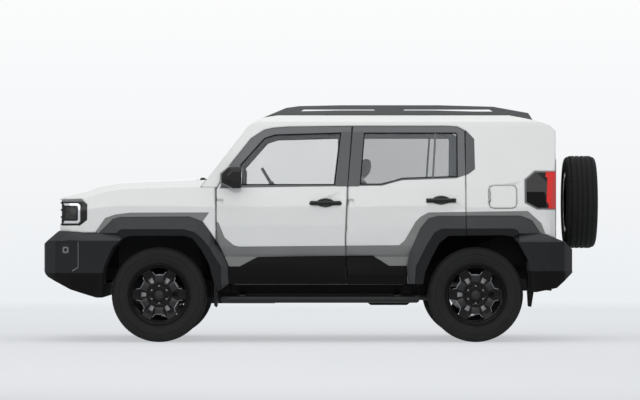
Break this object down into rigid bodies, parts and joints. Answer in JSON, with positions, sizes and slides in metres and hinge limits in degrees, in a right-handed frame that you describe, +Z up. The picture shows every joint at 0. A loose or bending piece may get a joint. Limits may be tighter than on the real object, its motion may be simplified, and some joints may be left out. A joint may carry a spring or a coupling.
{
  "type": "off-road car",
  "caption": "Boxy five-door off-road car on a ladder frame: opening doors, bonnet and rear door with a spare wheel, steered front wheels, and all wheels that turn.",
  "frame": {"origin": "on the ground, at the middle of the length and of the width", "axes": "+Z up, the front points to -X, the car's left side is at -Y"},
  "size_m": [4.575, 2.07, 1.94],
  "materials": {
    "body_paint": "gloss white",
    "cladding": "grained dark grey",
    "black_trim": "satin black",
    "glass": "clear, faint grey",
    "lamp_lens": "clear lens over a dark housing",
    "red_lens": "gloss red",
    "tyre_rubber": "matt",
    "wheel_black": "gloss black paint",
    "chassis_black": "satin black",
    "cast_metal": "as cast",
    "seat_fabric": "woven",
    "cabin_plastic": "grained"
  },
  "bodies": {
    "frame": {"ladder_frame": "chassis_black", "front_suspension": "cast_metal", "rear_axle": "cast_metal", "powertrain": "cast_metal", "exhaust": "cast_metal", "floor_pan": "chassis_black", "firewall": "chassis_black", "left_body_side": "body_paint", "right_body_side": "body_paint", "roof": "body_paint", "left_fender": "body_paint", "right_fender": "body_paint", "grille": "black_trim", "windscreen": "glass", "front_bumper": "cladding", "rear_bumper": "cladding", "left_front_flare": "cladding", "right_front_flare": "cladding", "left_rear_flare": "cladding", "right_rear_flare": "cladding", "left_side_step": "black_trim", "right_side_step": "black_trim", "left_head_lamp": "lamp_lens", "right_head_lamp": "lamp_lens", "left_tail_lamp": "red_lens", "right_tail_lamp": "red_lens", "left_roof_rail": "black_trim", "right_roof_rail": "black_trim", "dashboard": "cabin_plastic", "steering_wheel": "cabin_plastic", "left_front_seat": "seat_fabric", "right_front_seat": "seat_fabric", "rear_seat": "seat_fabric"},
    "left_knuckle": {"left_knuckle": "cast_metal"},
    "right_knuckle": {"right_knuckle": "cast_metal"},
    "front_left_wheel": {"front_left_rim": "wheel_black", "front_left_tyre": "tyre_rubber"},
    "front_right_wheel": {"front_right_rim": "wheel_black", "front_right_tyre": "tyre_rubber"},
    "rear_left_wheel": {"rear_left_rim": "wheel_black", "rear_left_tyre": "tyre_rubber"},
    "rear_right_wheel": {"rear_right_rim": "wheel_black", "rear_right_tyre": "tyre_rubber"},
    "left_front_door": {"left_front_door": "body_paint", "left_front_glass": "glass", "left_mirror": "black_trim"},
    "right_front_door": {"right_front_door": "body_paint", "right_front_glass": "glass", "right_mirror": "black_trim"},
    "left_rear_door": {"left_rear_door": "body_paint", "left_rear_glass": "glass"},
    "right_rear_door": {"right_rear_door": "body_paint", "right_rear_glass": "glass"},
    "tailgate": {"tailgate": "body_paint", "tailgate_glass": "glass", "spare_rim": "wheel_black", "spare_tyre": "tyre_rubber"},
    "bonnet": {"bonnet": "body_paint"},
    "fuel_lid": {"fuel_lid": "body_paint"}
  },
  "joints": [
    {"name": "left_steer", "type": "hinge", "parent": "frame", "child": "left_knuckle", "pos_m": [-1.3325, -0.7, 0.3875], "axis": [0, 0, 1], "range_deg": [-30, 30]},
    {"name": "right_steer", "type": "hinge", "parent": "frame", "child": "right_knuckle", "pos_m": [-1.3325, 0.7, 0.3875], "axis": [0, 0, 1], "range_deg": [-30, 30]},
    {"name": "front_left_spin", "type": "hinge", "parent": "left_knuckle", "child": "front_left_wheel", "pos_m": [-1.3325, -0.7725, 0.3875], "axis": [0, 1, 0], "continuous": true},
    {"name": "front_right_spin", "type": "hinge", "parent": "right_knuckle", "child": "front_right_wheel", "pos_m": [-1.3325, 0.7725, 0.3875], "axis": [0, 1, 0], "continuous": true},
    {"name": "rear_left_spin", "type": "hinge", "parent": "frame", "child": "rear_left_wheel", "pos_m": [1.2475, -0.7725, 0.3875], "axis": [0, 1, 0], "continuous": true},
    {"name": "rear_right_spin", "type": "hinge", "parent": "frame", "child": "rear_right_wheel", "pos_m": [1.2475, 0.7725, 0.3875], "axis": [0, 1, 0], "continuous": true},
    {"name": "left_front_door_hinge", "type": "hinge", "parent": "frame", "child": "left_front_door", "pos_m": [-0.8337, -0.865, 0.9], "axis": [0, 0, -1], "range_deg": [0, 65]},
    {"name": "right_front_door_hinge", "type": "hinge", "parent": "frame", "child": "right_front_door", "pos_m": [-0.8337, 0.865, 0.9], "axis": [0, 0, 1], "range_deg": [0, 65]},
    {"name": "left_rear_door_hinge", "type": "hinge", "parent": "frame", "child": "left_rear_door", "pos_m": [0.2288, -0.865, 0.9], "axis": [0, 0, -1], "range_deg": [0, 65]},
    {"name": "right_rear_door_hinge", "type": "hinge", "parent": "frame", "child": "right_rear_door", "pos_m": [0.2288, 0.865, 0.9], "axis": [0, 0, 1], "range_deg": [0, 65]},
    {"name": "tailgate_hinge", "type": "hinge", "parent": "frame", "child": "tailgate", "pos_m": [1.942, 0.692, 1.1], "axis": [0, 0, 1], "range_deg": [0, 90]},
    {"name": "bonnet_hinge", "type": "hinge", "parent": "frame", "child": "bonnet", "pos_m": [-1.0425, 0, 1.306], "axis": [0, 1, 0], "range_deg": [0, 50]},
    {"name": "fuel_lid_hinge", "type": "hinge", "parent": "frame", "child": "fuel_lid", "pos_m": [1.3615, -0.8797, 1.185], "axis": [0, -0.1203, -0.9927], "range_deg": [0, 90]}
  ],
  "couplings": [
    {"joint": "right_steer", "follows": "left_steer", "ratio": 1}
  ]
}
